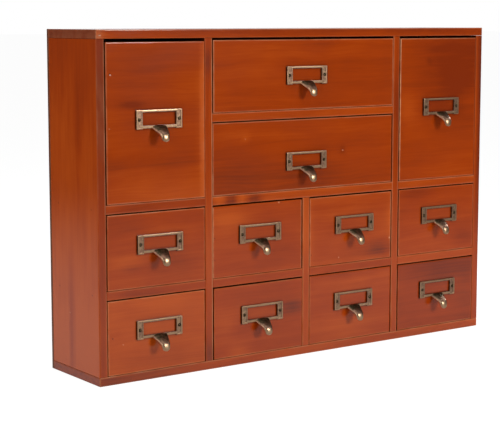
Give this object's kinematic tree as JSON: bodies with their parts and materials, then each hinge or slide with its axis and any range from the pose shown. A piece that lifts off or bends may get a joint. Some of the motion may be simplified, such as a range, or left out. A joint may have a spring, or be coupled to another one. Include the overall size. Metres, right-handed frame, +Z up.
{
  "type": "desk drawer organizer",
  "caption": "Low wide wooden desk organizer with small, tall and wide drawers in a butt-jointed case, each drawer with a brass card-frame pull.",
  "frame": {"origin": "middle of the underside of the case, halfway along its width and its depth without the pulls", "axes": "+X to the right along the long side seen from the drawer fronts, +Y from the fronts to the back, +Z up"},
  "size_m": [0.51, 0.1152, 0.35],
  "materials": {
    "stained_case": "red-brown stain under semi-gloss varnish",
    "stained_fronts": "red-brown stain under semi-gloss varnish, fine straight grain",
    "stained_plywood": "stained thin plywood",
    "drawer_boards": "bare pale wood, sanded",
    "antique_brass": "antiqued brass, brown in the hollows and bright on worn edges",
    "pin_brass": "dark antiqued brass"
  },
  "bodies": {
    "root": {"bottom_board": "stained_case", "top_board": "stained_case", "left_side": "stained_case", "left_partition": "stained_case", "right_partition": "stained_case", "right_side": "stained_case", "centre_partition": "stained_case", "left_shelves": "stained_case", "right_shelves": "stained_case", "wide_shelves": "stained_case", "short_shelves": "stained_case", "back_panel": "stained_plywood"},
    "tall_left_drawer": {"tall_left_front": "stained_fronts", "tall_left_box": "drawer_boards", "tall_left_pull": "antique_brass", "tall_left_pins": "pin_brass"},
    "wide_upper_drawer": {"wide_upper_front": "stained_fronts", "wide_upper_box": "drawer_boards", "wide_upper_pull": "antique_brass", "wide_upper_pins": "pin_brass"},
    "tall_right_drawer": {"tall_right_front": "stained_fronts", "tall_right_box": "drawer_boards", "tall_right_pull": "antique_brass", "tall_right_pins": "pin_brass"},
    "wide_lower_drawer": {"wide_lower_front": "stained_fronts", "wide_lower_box": "drawer_boards", "wide_lower_pull": "antique_brass", "wide_lower_pins": "pin_brass"},
    "upper_small_1_drawer": {"upper_small_1_front": "stained_fronts", "upper_small_1_box": "drawer_boards", "upper_small_1_pull": "antique_brass", "upper_small_1_pins": "pin_brass"},
    "upper_small_2_drawer": {"upper_small_2_front": "stained_fronts", "upper_small_2_box": "drawer_boards", "upper_small_2_pull": "antique_brass", "upper_small_2_pins": "pin_brass"},
    "upper_small_3_drawer": {"upper_small_3_front": "stained_fronts", "upper_small_3_box": "drawer_boards", "upper_small_3_pull": "antique_brass", "upper_small_3_pins": "pin_brass"},
    "upper_small_4_drawer": {"upper_small_4_front": "stained_fronts", "upper_small_4_box": "drawer_boards", "upper_small_4_pull": "antique_brass", "upper_small_4_pins": "pin_brass"},
    "lower_small_1_drawer": {"lower_small_1_front": "stained_fronts", "lower_small_1_box": "drawer_boards", "lower_small_1_pull": "antique_brass", "lower_small_1_pins": "pin_brass"},
    "lower_small_2_drawer": {"lower_small_2_front": "stained_fronts", "lower_small_2_box": "drawer_boards", "lower_small_2_pull": "antique_brass", "lower_small_2_pins": "pin_brass"},
    "lower_small_3_drawer": {"lower_small_3_front": "stained_fronts", "lower_small_3_box": "drawer_boards", "lower_small_3_pull": "antique_brass", "lower_small_3_pins": "pin_brass"},
    "lower_small_4_drawer": {"lower_small_4_front": "stained_fronts", "lower_small_4_box": "drawer_boards", "lower_small_4_pull": "antique_brass", "lower_small_4_pins": "pin_brass"}
  },
  "joints": [
    {"name": "tall_left_slide", "type": "slide", "parent": "root", "child": "tall_left_drawer", "axis": [0, -1, 0], "range_m": [0, 0.09]},
    {"name": "wide_upper_slide", "type": "slide", "parent": "root", "child": "wide_upper_drawer", "axis": [0, -1, 0], "range_m": [0, 0.09]},
    {"name": "tall_right_slide", "type": "slide", "parent": "root", "child": "tall_right_drawer", "axis": [0, -1, 0], "range_m": [0, 0.09]},
    {"name": "wide_lower_slide", "type": "slide", "parent": "root", "child": "wide_lower_drawer", "axis": [0, -1, 0], "range_m": [0, 0.09]},
    {"name": "upper_small_1_slide", "type": "slide", "parent": "root", "child": "upper_small_1_drawer", "axis": [0, -1, 0], "range_m": [0, 0.09]},
    {"name": "upper_small_2_slide", "type": "slide", "parent": "root", "child": "upper_small_2_drawer", "axis": [0, -1, 0], "range_m": [0, 0.09]},
    {"name": "upper_small_3_slide", "type": "slide", "parent": "root", "child": "upper_small_3_drawer", "axis": [0, -1, 0], "range_m": [0, 0.09]},
    {"name": "upper_small_4_slide", "type": "slide", "parent": "root", "child": "upper_small_4_drawer", "axis": [0, -1, 0], "range_m": [0, 0.09]},
    {"name": "lower_small_1_slide", "type": "slide", "parent": "root", "child": "lower_small_1_drawer", "axis": [0, -1, 0], "range_m": [0, 0.09]},
    {"name": "lower_small_2_slide", "type": "slide", "parent": "root", "child": "lower_small_2_drawer", "axis": [0, -1, 0], "range_m": [0, 0.09]},
    {"name": "lower_small_3_slide", "type": "slide", "parent": "root", "child": "lower_small_3_drawer", "axis": [0, -1, 0], "range_m": [0, 0.09]},
    {"name": "lower_small_4_slide", "type": "slide", "parent": "root", "child": "lower_small_4_drawer", "axis": [0, -1, 0], "range_m": [0, 0.09]}
  ]
}
